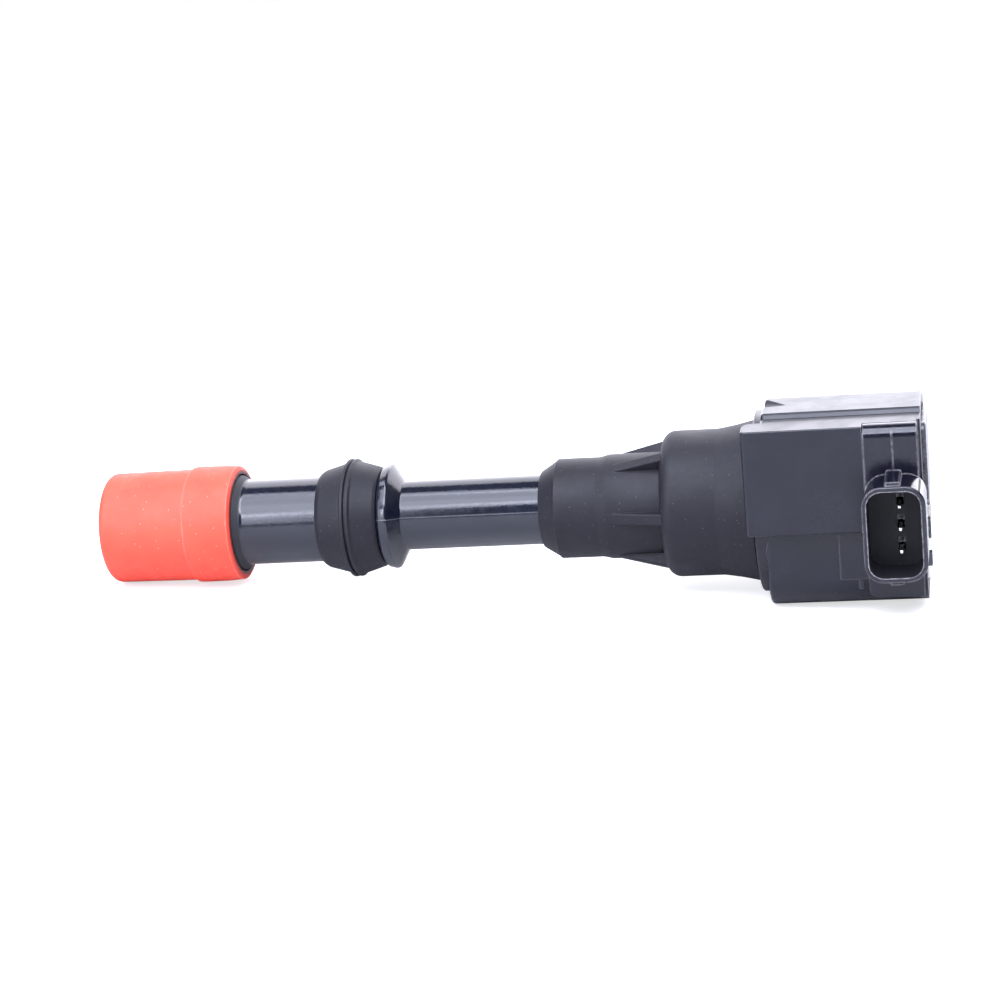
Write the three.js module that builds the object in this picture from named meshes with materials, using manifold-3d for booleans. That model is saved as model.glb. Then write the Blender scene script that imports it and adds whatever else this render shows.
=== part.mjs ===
// Plug-top ignition coil for a small engine: a long insulating stem with a silicone plug boot at one end
// and a potted transformer case with its three-pin connector at the other.
//
// Millimetres, +Z up. The coil lies along X: the plug boot at -X, the case at +X, the connector's mouth
// towards -Y. Everything is drawn round the coil's own axis, and one group at the end lifts that axis so
// that the origin is the middle of the bottom of the bounding box.

import * as THREE from 'three';
import { mergeVertices } from 'three/addons/utils/BufferGeometryUtils.js';
import Module from 'manifold-3d';

const wasm = await Module();
wasm.setup();

// ---------------------------------------------------------------- driving dimensions

const GAP = 0.3;                 // clearance between separate pieces
const ROUND = 40;                // sides of the large turned pieces
const SMALL_ROUND = 20;          // sides of the small ones

const BOOT = { x0: -80.9, x1: -53.1, r: 11.3, collarX: -62.8, collarR: 11.8, rimR: 11.55, mouthR: 9.9, boreR: 5.3 };
const STEM = { x0: -64.2, boreR: 5.0, lowerR: 8.6, upperR: 6.95, shoulderX: -19.0 };
const SOCKET = { x0: 35.1, x1: 50.8, r: 11.2, boreR: 9.7 };
const RING = { x0: -36.0, x1: -23.4, r: 11.0, lipR: 11.9 };
const SEAL = { x0: 9.0, x1: 51.8, neckR: 9.9, ribbedR: 10.35, drumX: 33.6, drumR: 14.4, skirtR: 15.85 };
const RIB = { count: 6, width: 2.2, x0: 24.3, x1: 34.2, topR: 13.0 };
const FLANGE = { x0: 52.1, r: 17.85 };
const TOWER = { x0: 36.5, r: 9.4, boreR: 3.6 };
const CASE = {
  x0: 54.2, x1: 84.1, front: -17.5, back: 17.5, bottom: -17.8, top: 20.05, wall: 2.0, corner: 6.5,
  ridgeY: 0.8,
};
const LEDGE = { y: -14.4, z: 18.2, topY: -13.1, topZ: 19.85 };         // step along the top of the case
const POD = { x0: 50.9, x1: 83.6, front: -21.0, bottom: -2.1 };
const SLOT = { x0: 73.7, x1: 83.6, depth: 2.6 };                       // where the connector plate sits
const PLUG = { x: 78.9, width: 11.7, height: 18.1, mouth: -31.4, root: -21.4, floor: -22.6, wall: 0.95 };
const PIN = { x: 79.85, size: 0.7, tip: -26.8 };
const STRIP = { y0: -13.9, y1: -13.2, tabX: 83.4, tabEnd: 85.4, tabHalf: 1.25 };
const TERMINALS = [                                                    // pitch of the pins: 4.3
  { pinZ: 4.15, stepX: 82.3, tabZ: -0.1 },
  { pinZ: -0.15, stepX: 81.1, tabZ: -6.6 },
  { pinZ: -4.45, stepX: 79.85, tabZ: -12.0 },
];
const CARRIER = { x0: 83.6, x1: 85.1, y0: -14.9, y1: -11.9, z0: -13.5, z1: 1.8 };
const LUG = { x0: 55.5, x1: 65.5, y: 25.5, r: 8.6, bushR: 5.4, boltR: 3.3 };
const CORE = { x: 68.2, y: 1.0, width: 7.4 };                          // the transformer stands on this line
const SPRING = { x0: -60.4, x1: -41.6, r: 3.4, wireR: 0.45, turns: 8 };
const POTTING = { x0: 81.9, x1: 83.3, fieldX: 84.9 };

// ---------------------------------------------------------------- solids

function closedGeometry(geometry) {
  geometry.deleteAttribute('normal');
  geometry.deleteAttribute('uv');
  const merged = mergeVertices(geometry, 1e-4);
  const position = merged.attributes.position;
  const corner = [new THREE.Vector3(), new THREE.Vector3(), new THREE.Vector3()];
  const kept = [];
  let volume = 0;
  for (let i = 0; i < merged.index.count; i += 3) {
    const abc = [0, 1, 2].map((k) => merged.index.getX(i + k));
    if (new Set(abc).size < 3) continue;
    kept.push(...abc);
    abc.forEach((v, k) => corner[k].fromBufferAttribute(position, v));
    volume += corner[0].dot(corner[1].cross(corner[2]));
  }
  if (volume < 0) kept.reverse();
  merged.setIndex(kept);
  return merged;
}

function solid(geometry) {
  const closed = closedGeometry(geometry);
  const mesh = new wasm.Mesh({
    numProp: 3,
    vertProperties: new Float32Array(closed.attributes.position.array),
    triVerts: new Uint32Array(closed.index.array),
  });
  return new wasm.Manifold(mesh);
}

function geometryOf(body) {
  const mesh = body.getMesh();
  const geometry = new THREE.BufferGeometry();
  geometry.setAttribute('position', new THREE.BufferAttribute(new Float32Array(mesh.vertProperties), 3));
  geometry.setIndex(new THREE.BufferAttribute(new Uint32Array(mesh.triVerts), 1));
  return geometry;
}

function join(...bodies) {
  return bodies.reduce((all, body) => all.add(body));
}

function cut(body, ...tools) {
  return tools.reduce((left, tool) => left.subtract(tool), body);
}

// A turned piece about the X axis. The profile is a list of [x, radius] that closes on itself.
function turned(profile, sides = ROUND) {
  const points = [...profile, profile[0]].map(([x, r]) => new THREE.Vector2(r, x));
  return new THREE.LatheGeometry(points, sides).rotateZ(-Math.PI / 2);
}

// Points of a quarter-circle fillet between two angles, as [x, radius] pairs.
function arc(x, r, radius, fromDegrees, toDegrees, steps = 4) {
  return Array.from({ length: steps + 1 }, (_, i) => {
    const a = THREE.MathUtils.degToRad(fromDegrees + ((toDegrees - fromDegrees) * i) / steps);
    return [x + radius * Math.cos(a), r + radius * Math.sin(a)];
  });
}

// A closed outline through corners [u, v, fillet radius].
function outline(corners) {
  const shape = new THREE.Shape();
  corners.forEach(([u, v, radius = 0], i) => {
    const here = new THREE.Vector2(u, v);
    const [pu, pv] = corners[(i + corners.length - 1) % corners.length];
    const [nu, nv] = corners[(i + 1) % corners.length];
    const before = new THREE.Vector2(pu, pv).sub(here).normalize();
    const after = new THREE.Vector2(nu, nv).sub(here).normalize();
    if (!radius) {
      if (i) shape.lineTo(u, v);
      else shape.moveTo(u, v);
      return;
    }
    const half = Math.acos(before.dot(after)) / 2;
    const start = here.clone().addScaledVector(before, radius / Math.tan(half));
    const end = here.clone().addScaledVector(after, radius / Math.tan(half));
    const inward = before.clone().add(after).normalize();
    const centre = here.clone().addScaledVector(inward, radius / Math.sin(half));
    const clockwise = before.cross(after) > 0;
    if (i) shape.lineTo(start.x, start.y);
    else shape.moveTo(start.x, start.y);
    const from = Math.atan2(start.y - centre.y, start.x - centre.x);
    const to = Math.atan2(end.y - centre.y, end.x - centre.x);
    shape.absarc(centre.x, centre.y, radius, from, to, clockwise);
  });
  shape.closePath();
  return shape;
}

function rectangle(u0, v0, u1, v1, radius = 0) {
  return outline([[u0, v0, radius], [u1, v0, radius], [u1, v1, radius], [u0, v1, radius]]);
}

function extruded(shape, depth, curveSegments) {
  return new THREE.ExtrudeGeometry(shape, { depth, bevelEnabled: false, curveSegments });
}

// Outline in (y, z), extruded along X.
function alongX(shape, x0, x1, curveSegments = 5) {
  const basis = new THREE.Matrix4().makeBasis(
    new THREE.Vector3(0, 1, 0),
    new THREE.Vector3(0, 0, 1),
    new THREE.Vector3(1, 0, 0),
  );
  return extruded(shape, x1 - x0, curveSegments).applyMatrix4(basis).translate(x0, 0, 0);
}

// Outline in (x, z), extruded along Y.
function alongY(shape, y0, y1, curveSegments = 5) {
  return extruded(shape, y1 - y0, curveSegments).rotateX(Math.PI / 2).translate(0, y1, 0);
}

// Outline in (x, y), extruded along Z.
function alongZ(shape, z0, z1, curveSegments = 5) {
  return extruded(shape, z1 - z0, curveSegments).translate(0, 0, z0);
}

function box([x0, x1], [y0, y1], [z0, z1]) {
  const geometry = new THREE.BoxGeometry(x1 - x0, y1 - y0, z1 - z0);
  return geometry.translate((x0 + x1) / 2, (y0 + y1) / 2, (z0 + z1) / 2);
}

// A turned piece about a vertical line through (x, y). The profile is a list of [radius, z].
function upright(profile, x, y, sides = 24) {
  const points = [...profile, profile[0]].map(([r, z]) => new THREE.Vector2(r, z));
  return new THREE.LatheGeometry(points, sides).rotateX(Math.PI / 2).translate(x, y, 0);
}

// ---------------------------------------------------------------- the assembly's pieces

const coil = new THREE.Group();

function add(name, geometry, color, roughness, metalness = 0) {
  const mesh = new THREE.Mesh(
    closedGeometry(geometry),
    new THREE.MeshStandardMaterial({ color, roughness, metalness }),
  );
  mesh.name = name;
  coil.add(mesh);
  return mesh;
}

function addSolid(name, body, color, roughness, metalness = 0) {
  return add(name, geometryOf(body), color, roughness, metalness);
}

// Silicone boot: a bore for the plug's insulator at the left, a pocket for the stem at the right.
function plugBoot() {
  const pocketR = STEM.lowerR + GAP;
  const endRadius = 1.2;
  return turned([
    [BOOT.x0, BOOT.boreR + 0.7],
    ...arc(BOOT.x0 + endRadius, BOOT.r - endRadius, endRadius, 180, 90, 3),
    [BOOT.collarX, BOOT.r],
    [BOOT.collarX, BOOT.collarR],
    [-60.0, BOOT.collarR],
    [BOOT.x1 - 0.55, BOOT.rimR],
    [BOOT.x1 - 0.15, BOOT.rimR - 0.55],
    [BOOT.x1, BOOT.mouthR + 0.4],
    [BOOT.x1, BOOT.mouthR],
    [-54.4, BOOT.mouthR],
    [-54.4, pocketR],
    [STEM.x0 - GAP, pocketR],
    [STEM.x0 - GAP, BOOT.boreR],
    [BOOT.x0 + 0.9, BOOT.boreR],
  ]);
}

// Insulating stem: thick lower half, slim upper half, and a socket that the case's tower plugs into.
function stem() {
  return turned([
    [STEM.x0, 3.9],
    [STEM.x0, STEM.lowerR - 0.5],
    [STEM.x0 + 0.5, STEM.lowerR],
    [-54.1, STEM.lowerR],
    [-54.1, BOOT.mouthR - GAP],
    [BOOT.x1, BOOT.mouthR - GAP],
    [-52.5, 9.15],
    [-51.6, STEM.lowerR],
    [RING.x1 + GAP, STEM.lowerR],
    [RING.x1 + GAP, 9.8],
    [-22.5, 10.3],
    [-21.3, 10.45],
    [-20.8, 9.95],
    [STEM.shoulderX, STEM.upperR],
    [12.0, STEM.upperR],
    [12.4, 7.4],
    [32.2, 7.4],
    [SOCKET.x0, SOCKET.r],
    [SOCKET.x1, SOCKET.r],
    [SOCKET.x1, SOCKET.boreR],
    [35.2, SOCKET.boreR],
    [33.6, STEM.boreR],
    [-62.9, STEM.boreR],
    [-62.9, 3.9],
  ]);
}

// Rubber ring that centres the stem in the plug well, with two thin lips at its widest point.
function centringRing() {
  const boreR = STEM.lowerR + GAP;
  return turned([
    [RING.x0, boreR],
    [RING.x0, 9.2],
    [-35.5, 9.65],
    [-30.7, RING.r],
    [-30.0, RING.lipR],
    [-29.6, RING.lipR],
    [-29.3, 11.4],
    [-29.0, RING.lipR],
    [-28.6, RING.lipR],
    [-27.8, 11.25],
    [-24.0, 9.95],
    [RING.x1, 9.6],
    [RING.x1, boreR],
  ]);
}

// Rubber seal that closes the mouth of the plug well: bevelled neck, ribs, drum and skirt.
function wellSeal() {
  const body = solid(turned([
    [SEAL.x0, STEM.upperR + GAP],
    [SEAL.x0, 7.6],
    [12.1, 9.6],
    [12.3, SEAL.neckR],
    [20.6, SEAL.neckR],
    [22.8, SEAL.ribbedR],
    [SEAL.drumX, SEAL.ribbedR],
    ...arc(SEAL.drumX + 2.6, SEAL.drumR - 2.6, 2.6, 180, 90, 4),
    [44.6, SEAL.drumR],
    [48.0, 14.95],
    [SEAL.x1, SEAL.skirtR],
    [SEAL.x1, SOCKET.r + GAP],
    [SOCKET.x0 - 0.2, SOCKET.r + GAP],
    [32.1, 7.75],
    [12.1, 7.75],
    [11.7, STEM.upperR + GAP],
  ]));
  const ribOutline = outline([
    [RIB.x0 - 1.5, SEAL.ribbedR - 1.0],
    [32.2, SEAL.ribbedR - 1.0],
    [RIB.x1, SEAL.ribbedR + 1.7],
    [RIB.x1, RIB.topR],
    [RIB.x0, SEAL.ribbedR + 0.1],
  ]);
  const ribs = Array.from({ length: RIB.count }, (_, i) => {
    const rib = alongY(ribOutline, -RIB.width / 2, RIB.width / 2);
    return solid(rib.rotateX(Math.PI / 2 + (i * 2 * Math.PI) / RIB.count));
  });
  return join(body, ...ribs);
}

function caseOutline(inset) {
  const fillet = CASE.corner - inset;
  return outline([
    [CASE.front + inset, CASE.bottom + inset, fillet],
    [CASE.back - inset, CASE.bottom + inset, fillet],
    [CASE.back - inset, 15.5 - inset * 0.8, 5.0 - inset],
    [CASE.ridgeY, CASE.top - inset, 0],
    [LEDGE.topY + inset, LEDGE.topZ - inset, inset ? 0 : 0.3],
    [LEDGE.y + inset, LEDGE.z - inset, inset ? 0 : 0.4],
    [CASE.front + inset, LEDGE.z - inset, 0],
  ]);
}

// Moulded case: potted box, igniter pod on its front, sealing flange and tower on its left, bolt lug behind.
function transformerCase() {
  const innerX = CASE.x0 + CASE.wall;
  const flange = turned([
    [FLANGE.x0, TOWER.r - 1],
    [FLANGE.x0, FLANGE.r - 0.4],
    [FLANGE.x0 + 0.4, FLANGE.r],
    [CASE.x0 + 1, FLANGE.r],
    [CASE.x0 + 1, TOWER.r - 1],
  ]);
  const tower = turned([
    [TOWER.x0, TOWER.boreR],
    [TOWER.x0, TOWER.r - 0.6],
    [TOWER.x0 + 0.6, TOWER.r],
    [CASE.x0 + 1, TOWER.r],
    [CASE.x0 + 1, TOWER.boreR],
  ], 32);
  const pod = alongZ(outline([
    [POD.x0, POD.front, 0.7],
    [POD.x1, POD.front],
    [POD.x1, CASE.front + 1],
    [POD.x0, CASE.front + 1.2, 2.0],
  ]), POD.bottom, LEDGE.z);
  const stepPad = box([67.9, 73.4], [-18.4, -16.5], [-11.8, POD.bottom + 0.1]);
  const lowerPlate = alongY(outline([
    [73.2, -15.3, 1.6],
    [83.5, -15.3],
    [83.5, -10.0],
    [73.2, -10.0],
  ]), -19.2, -12.0);
  const nub = box([71.3, 72.2], [-17.9, -15.0], [-13.8, -11.5]);
  const lug = alongX(outline([
    [16.0, -LUG.r, 0],
    [LUG.y + LUG.r, -LUG.r, LUG.r - 0.01],
    [LUG.y + LUG.r, LUG.r, LUG.r - 0.01],
    [16.0, LUG.r, 0],
  ]), LUG.x0, LUG.x1, 8);
  const gussets = [-LUG.r + 1.2, LUG.r - 1.2].map((z) => alongZ(
    outline([[LUG.x1 - 1, 16.0], [LUG.x1 - 1, LUG.y + 1], [78.0, 17.6], [78.0, 16.0]]),
    z - 1.0,
    z + 1.0,
  ));
  const shell = join(
    solid(alongX(caseOutline(0), CASE.x0, CASE.x1)),
    ...[flange, tower, pod, stepPad, lowerPlate, nub, lug, ...gussets].map(solid),
  );

  const cavity = alongX(caseOutline(CASE.wall), innerX, CASE.x1 + 1);
  const podCavity = box([innerX, 72.0], [POD.front + 2.0, CASE.front + 4], [0.2, 16.0]);
  const towerBore = turned([
    [TOWER.x0 - 1, 0],
    [TOWER.x0 - 1, TOWER.boreR],
    [innerX + 1, TOWER.boreR],
    [innerX + 1, 0],
  ], SMALL_ROUND);
  const bushHole = turned([
    [LUG.x0 - 1, 0],
    [LUG.x0 - 1, LUG.bushR + GAP],
    [LUG.x1 + 1, LUG.bushR + GAP],
    [LUG.x1 + 1, 0],
  ], 32).translate(0, LUG.y, 0);
  const plateRecess = box(
    [SLOT.x0 - GAP, POD.x1 + 1],
    [POD.front - 1, POD.front + SLOT.depth],
    [POD.bottom - 1, LEDGE.z + 1],
  );
  const shroudRecess = box([SLOT.x0 - GAP, POD.x1 + 1], [-22.0, -17.8], [-9.7, POD.bottom + 0.1]);
  const pinWays = TERMINALS.map(({ pinZ: z }) => box(
    [PIN.x - PIN.size / 2 - GAP, PIN.x + PIN.size / 2 + GAP],
    [-20.5, -15.0],
    [z - PIN.size / 2 - GAP, z + PIN.size / 2 + GAP],
  ));
  const openings = [cavity, podCavity, towerBore, bushHole, plateRecess, shroudRecess, ...pinWays];
  return cut(shell, ...openings.map(solid));
}

// Connector: a glossy plate set into the front of the case, with the oval socket standing on it.
function connectorHousing() {
  const [x0, x1] = [PLUG.x - PLUG.width / 2, PLUG.x + PLUG.width / 2];
  const half = PLUG.height / 2;
  const plateBack = POD.front + SLOT.depth - GAP;
  const plate = alongX(outline([
    [PLUG.root, POD.bottom],
    [plateBack, POD.bottom],
    [plateBack, LEDGE.z - 0.05],
    [PLUG.root, LEDGE.z - 0.05, 2.5],
  ]), SLOT.x0, 83.55);
  const foot = box([SLOT.x0, 83.55], [PLUG.root, -18.1], [-9.3, POD.bottom + 0.1]);
  const shroud = alongY(rectangle(x0, -half, x1, half, 3.4), PLUG.mouth, PLUG.root + 0.1, 6);
  const socket = alongY(
    rectangle(x0 + PLUG.wall, -half + PLUG.wall, x1 - PLUG.wall, half - PLUG.wall, 2.6),
    PLUG.mouth - 1,
    PLUG.floor,
    6,
  );
  const keyWidth = [PLUG.x - 1.3, PLUG.x + 1.3];
  const latch = box(keyWidth, [PLUG.mouth + 0.5, PLUG.root + 0.1], [half - 0.5, half + 0.75]);
  const keel = box(keyWidth, [PLUG.mouth + 1.0, PLUG.root + 0.1], [-half - 0.7, -half + 0.5]);
  const pinWays = TERMINALS.map(({ pinZ: z }) => box(
    [PIN.x - PIN.size / 2 - GAP, PIN.x + PIN.size / 2 + GAP],
    [PLUG.floor - 1, -17.0],
    [z - PIN.size / 2 - GAP, z + PIN.size / 2 + GAP],
  ));
  return cut(join(...[plate, foot, shroud, latch, keel].map(solid)), ...[socket, ...pinWays].map(solid));
}

// Terminal: a square pin in the socket, and behind it a flat strip that steps down inside the case and ends
// in a tab standing out of the potting.
function terminal({ pinZ, stepX, tabZ }) {
  const half = PIN.size / 2;
  const pin = alongZ(outline([
    [PIN.x - half, PIN.tip + 0.3],
    [PIN.x - half + 0.2, PIN.tip],
    [PIN.x + half - 0.2, PIN.tip],
    [PIN.x + half, PIN.tip + 0.3],
    [PIN.x + half, STRIP.y1],
    [PIN.x - half, STRIP.y1],
  ]), pinZ - half, pinZ + half);
  const strip = (x0, x1, z0, z1) => box([x0, x1], [STRIP.y0, STRIP.y1], [z0, z1]);
  return join(...[
    pin,
    strip(PIN.x - half, stepX + half, pinZ - half, pinZ + half),
    strip(stepX - half, stepX + half, tabZ - half, pinZ + half),
    strip(stepX - half, STRIP.tabX, tabZ - half, tabZ + half),
    strip(STRIP.tabX - 1, STRIP.tabEnd, tabZ - STRIP.tabHalf, tabZ + STRIP.tabHalf),
  ].map(solid));
}

// Comb that holds the three tabs where they leave the potting, with an eye across it.
function terminalCarrier() {
  const { x0, x1, y0, y1, z0, z1 } = CARRIER;
  const slots = TERMINALS.map(({ tabZ }) => box(
    [x0 - 1, x1 + 1],
    [y0 - 1, STRIP.y1 + GAP],
    [tabZ - STRIP.tabHalf - GAP, tabZ + STRIP.tabHalf + GAP],
  ));
  const eye = alongY(rectangle(84.0, -3.7, 84.8, -2.9, 0.35), y0 - 1, y1 + 1, 3);
  return cut(...[box([x0, x1], [y0, y1], [z0, z1]), ...slots, eye].map(solid));
}

const plastic = 0x2b2c34;
const rubber = 0x2a2b2e;
const silicone = 0xff7a68;

add('plug_boot', plugBoot(), silicone, 0.55);
add('stem', stem(), 0x14151c, 0.15);
add('centring_ring', centringRing(), rubber, 0.8);
addSolid('well_seal', wellSeal(), rubber, 0.85);
addSolid('case', transformerCase(), plastic, 0.45);
addSolid('connector_housing', connectorHousing(), 0x22232b, 0.25);
TERMINALS.forEach((places, i) => {
  addSolid(`terminal_${i + 1}`, terminal(places), 0xd8d4c8, 0.3, 1);
});
addSolid('terminal_carrier', terminalCarrier(), 0x3a3b40, 0.5);

// ---------------------------------------------------------------- high-voltage path in the stem

add('contact_cap', turned([
  [-67.2, 0],
  [-67.2, 2.4],
  [-66.6, 3.4],
  [-62.6, 3.4],
  [-62.6, 4.6],
  [-61.2, 4.6],
  [-61.2, 0],
], SMALL_ROUND), 0xcdb06a, 0.3, 1);

class Helix extends THREE.Curve {
  getPoint(t) {
    const angle = t * 2 * Math.PI * SPRING.turns;
    const x = SPRING.x0 + t * (SPRING.x1 - SPRING.x0);
    return new THREE.Vector3(x, SPRING.r * Math.cos(angle), SPRING.r * Math.sin(angle));
  }
}
const wireSection = new THREE.Shape();
wireSection.absarc(0, 0, SPRING.wireR, 0, 2 * Math.PI, false);
add('contact_spring', new THREE.ExtrudeGeometry(wireSection, {
  steps: SPRING.turns * 10,
  extrudePath: new Helix(),
  curveSegments: 3,
}), 0xb9bcc2, 0.3, 1);

add('contact_rod', turned([
  [-40.8, 0],
  [-40.8, 4.6],
  [-39.4, 4.6],
  [-39.4, 1.6],
  [15.0, 1.6],
  [15.0, 4.6],
  [16.2, 4.6],
  [16.2, 0],
], SMALL_ROUND), 0xc4c6ca, 0.35, 1);

add('suppression_resistor', turned([
  [16.6, 0],
  [16.6, 3.3],
  [32.4, 3.3],
  [32.4, 0],
], SMALL_ROUND), 0xd9cdb4, 0.6);

add('high_voltage_terminal', turned([
  [32.8, 0],
  [32.8, 3.2],
  [56.4, 3.2],
  [56.4, 0],
], SMALL_ROUND), 0xc9a45a, 0.35, 1);

// ---------------------------------------------------------------- transformer in the case

function coreBox(y0, y1, z0, z1) {
  return box([CORE.x - CORE.width / 2, CORE.x + CORE.width / 2], [y0, y1], [z0, z1]);
}

function spool(inner, outer, flangeR, z0, z1, flangeThickness, walls = []) {
  const edges = [z0, ...walls, z1 - flangeThickness];
  const profile = [[inner, z0]];
  edges.forEach((z, i) => {
    if (i) profile.push([outer, z]);
    profile.push([flangeR, z], [flangeR, z + flangeThickness]);
    if (i < edges.length - 1) profile.push([outer, z + flangeThickness]);
  });
  profile.push([inner, z1]);
  return upright(profile, CORE.x, CORE.y);
}

function wound(inner, outer, z0, z1) {
  return upright([[inner, z0], [outer, z0], [outer, z1], [inner, z1]], CORE.x, CORE.y);
}

const halfCore = CORE.width / 2;
add('centre_core', coreBox(CORE.y - halfCore, CORE.y + halfCore, -12.5, 12.2), 0x6f7175, 0.5, 1);
add('bias_magnet', coreBox(CORE.y - halfCore, CORE.y + halfCore, 12.5, 14.3), 0x3d3e42, 0.4, 1);
add('outer_core', alongX(outline([
  [CORE.y - halfCore, -15.2],
  [11.6, -15.2],
  [14.9, -11.9],
  [14.9, 12.0],
  [13.0, 14.2],
  [0.8, 17.1],
  [CORE.y - halfCore, 17.3],
  [CORE.y - halfCore, 14.6],
  [5.2, 14.6],
  [11.2, 12.3],
  [12.4, 10.9],
  [12.4, -12.8],
  [CORE.y - halfCore, -12.8],
]), CORE.x - halfCore, CORE.x + halfCore), 0x66686c, 0.5, 1);
add('primary_bobbin', spool(5.5, 6.0, 7.5, -11.9, 11.7, 0.8), 0xe8e0c8, 0.5);
add('primary_winding', wound(6.3, 7.3, -10.8, 10.6), 0xb8632f, 0.35, 1);
const sectionWalls = [-4.3, 3.2];
add('secondary_bobbin', spool(7.8, 8.3, 10.3, -11.9, 11.7, 0.9, sectionWalls), 0xe8e0c8, 0.5);
[[-10.7, -4.6], [-3.1, 2.9], [4.4, 10.5]].forEach(([z0, z1], i) => {
  add(`secondary_winding_${i + 1}`, wound(8.6, 10.0, z0, z1), 0xa85a2a, 0.4, 1);
});
const diode = upright([[0, -7.0], [1.3, -7.0], [1.3, 1.0], [0, 1.0]], 58.4, -12.2, 16);
add('high_voltage_diode', diode, 0x2c2c30, 0.5);

// ---------------------------------------------------------------- igniter, potting, bolt bush

add('igniter_heat_sink', box([56.8, 71.4], [-18.7, -17.9], [0.9, 15.4]), 0xb9bbbf, 0.35, 1);
addSolid('igniter_module', join(
  solid(box([57.6, 70.6], [-17.6, -14.6], [2.0, 13.0])),
  ...[59, 62, 65, 68].map((x) => solid(box([x - 0.35, x + 0.35], [-15.1, -14.6], [-3.5, 2.5]))),
), 0x1e1f24, 0.4);

// Resin that closes the case, with a raised field over the core and ways through for the terminals.
function potting() {
  const inset = CASE.wall + GAP;
  const slab = alongX(caseOutline(inset), POTTING.x0, POTTING.x1);
  const field = alongX(rectangle(-9.8, -1.5, 9.0, 15.8, 2.0), POTTING.x1 - 0.5, POTTING.fieldX);
  const ways = TERMINALS.map(({ pinZ, stepX, tabZ }) => box(
    [POTTING.x0 - 1, POTTING.x1 + 1],
    [STRIP.y0 - GAP, STRIP.y1 + GAP],
    [tabZ - STRIP.tabHalf - GAP, (stepX > POTTING.x0 - 1 ? pinZ : tabZ) + STRIP.tabHalf + GAP],
  ));
  return cut(join(solid(slab), solid(field)), ...ways.map(solid));
}
addSolid('potting', potting(), 0x3f4046, 0.3);

add('mounting_bush', turned([
  [LUG.x0 - 0.3, LUG.boltR],
  [LUG.x0 - 0.3, LUG.bushR],
  [LUG.x1 + 0.3, LUG.bushR],
  [LUG.x1 + 0.3, LUG.boltR],
], 32).translate(0, LUG.y, 0), 0xc9cbd0, 0.3, 1);

// ---------------------------------------------------------------- place the coil on its origin

const bounds = new THREE.Box3().setFromObject(coil);
const middle = bounds.getCenter(new THREE.Vector3());
coil.position.set(-middle.x, -middle.y, -bounds.min.z);

const assembly = new THREE.Group();
assembly.add(coil);
export default assembly;
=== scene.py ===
import math

import bmesh
import bpy
from mathutils import Matrix, Vector

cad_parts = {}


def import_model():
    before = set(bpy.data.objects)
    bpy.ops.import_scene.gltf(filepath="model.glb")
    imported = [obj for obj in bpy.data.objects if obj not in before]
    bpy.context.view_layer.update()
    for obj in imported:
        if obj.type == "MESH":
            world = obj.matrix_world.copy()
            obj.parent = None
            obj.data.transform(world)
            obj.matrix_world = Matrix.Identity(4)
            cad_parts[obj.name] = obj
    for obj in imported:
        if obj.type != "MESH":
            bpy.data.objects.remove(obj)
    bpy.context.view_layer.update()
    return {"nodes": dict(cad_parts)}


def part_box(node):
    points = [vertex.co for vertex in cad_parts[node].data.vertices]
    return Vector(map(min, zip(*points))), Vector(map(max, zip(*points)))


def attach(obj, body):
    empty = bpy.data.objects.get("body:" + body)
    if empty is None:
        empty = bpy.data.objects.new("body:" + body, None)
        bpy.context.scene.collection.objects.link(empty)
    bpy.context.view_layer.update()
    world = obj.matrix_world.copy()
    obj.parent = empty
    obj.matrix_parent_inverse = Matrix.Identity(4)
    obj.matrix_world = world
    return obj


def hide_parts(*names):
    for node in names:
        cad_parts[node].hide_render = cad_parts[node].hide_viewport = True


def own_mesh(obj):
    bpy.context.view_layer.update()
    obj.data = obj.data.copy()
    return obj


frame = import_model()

# Plug-top ignition coil. Every piece is drawn in millimetres round the coil's own axis: X along the stem,
# from the plug boot to the case, -Y towards the connector's mouth, +Z up. ORIGIN is that axis in the frame.

MM = 0.001
GAP = 0.3                                          # between pieces that meet
STEM_START = -64.2                                 # the stem's left end, from the origin along the axis
STEM_ROOT = -51.7                                  # where the stem comes out of the boot's mouth
BOOT_BORE = 5.3
BOOT_MOUTH = 9.9                                   # radius of the boot's mouth, round the stem
LOWER_STEM = 8.6                                   # radius of the stem's thick lower half
UPPER_STEM = 6.95                                  # and of its slim upper half
CONNECTOR = {"x": 78.9, "width": 11.7, "height": 18.1, "mouth": -31.4, "root": -21.4, "floor": -22.6}
SOCKET_WALL = 0.95                                 # of the connector's shroud
POCKET_DEPTH = 1.0                                 # of the hollow round each pin in the socket's floor


def axis_origin():
    """The point on the coil's axis that every piece is drawn from, found from the stem's CAD solid."""
    low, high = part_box("stem")
    return Vector((low.x - STEM_START * MM, (low.y + high.y) / 2, (low.z + high.z) / 2))


ORIGIN = axis_origin()


def extent(cad_node):
    """The lowest and highest corner of a CAD node, in millimetres from the coil's origin."""
    low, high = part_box(cad_node)
    return (low - ORIGIN) / MM, (high - ORIGIN) / MM


# ---------------------------------------------------------------- camera

# Where the camera stands in the frame, in metres, and which way its right and its top point.
CAMERA_PLACE = Vector((0.09411, -0.47741, 0.13654))
CAMERA_RIGHT = Vector((0.980311, 0.176219, -0.089065))
CAMERA_UP = Vector((0.043830, 0.245610, 0.968377))

camera_data = bpy.data.cameras.new("camera")
camera_data.lens = 90
camera_data.sensor_width = 36
camera_data.clip_start = 0.01
camera_data.clip_end = 20
camera = bpy.data.objects.new("camera", camera_data)
bpy.context.scene.collection.objects.link(camera)
backward = CAMERA_RIGHT.cross(CAMERA_UP).normalized()
turn = Matrix((CAMERA_RIGHT, CAMERA_UP, backward)).transposed().to_4x4()
camera.matrix_world = Matrix.Translation(CAMERA_PLACE) @ turn
bpy.context.scene.camera = camera


# ---------------------------------------------------------------- shapes

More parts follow.
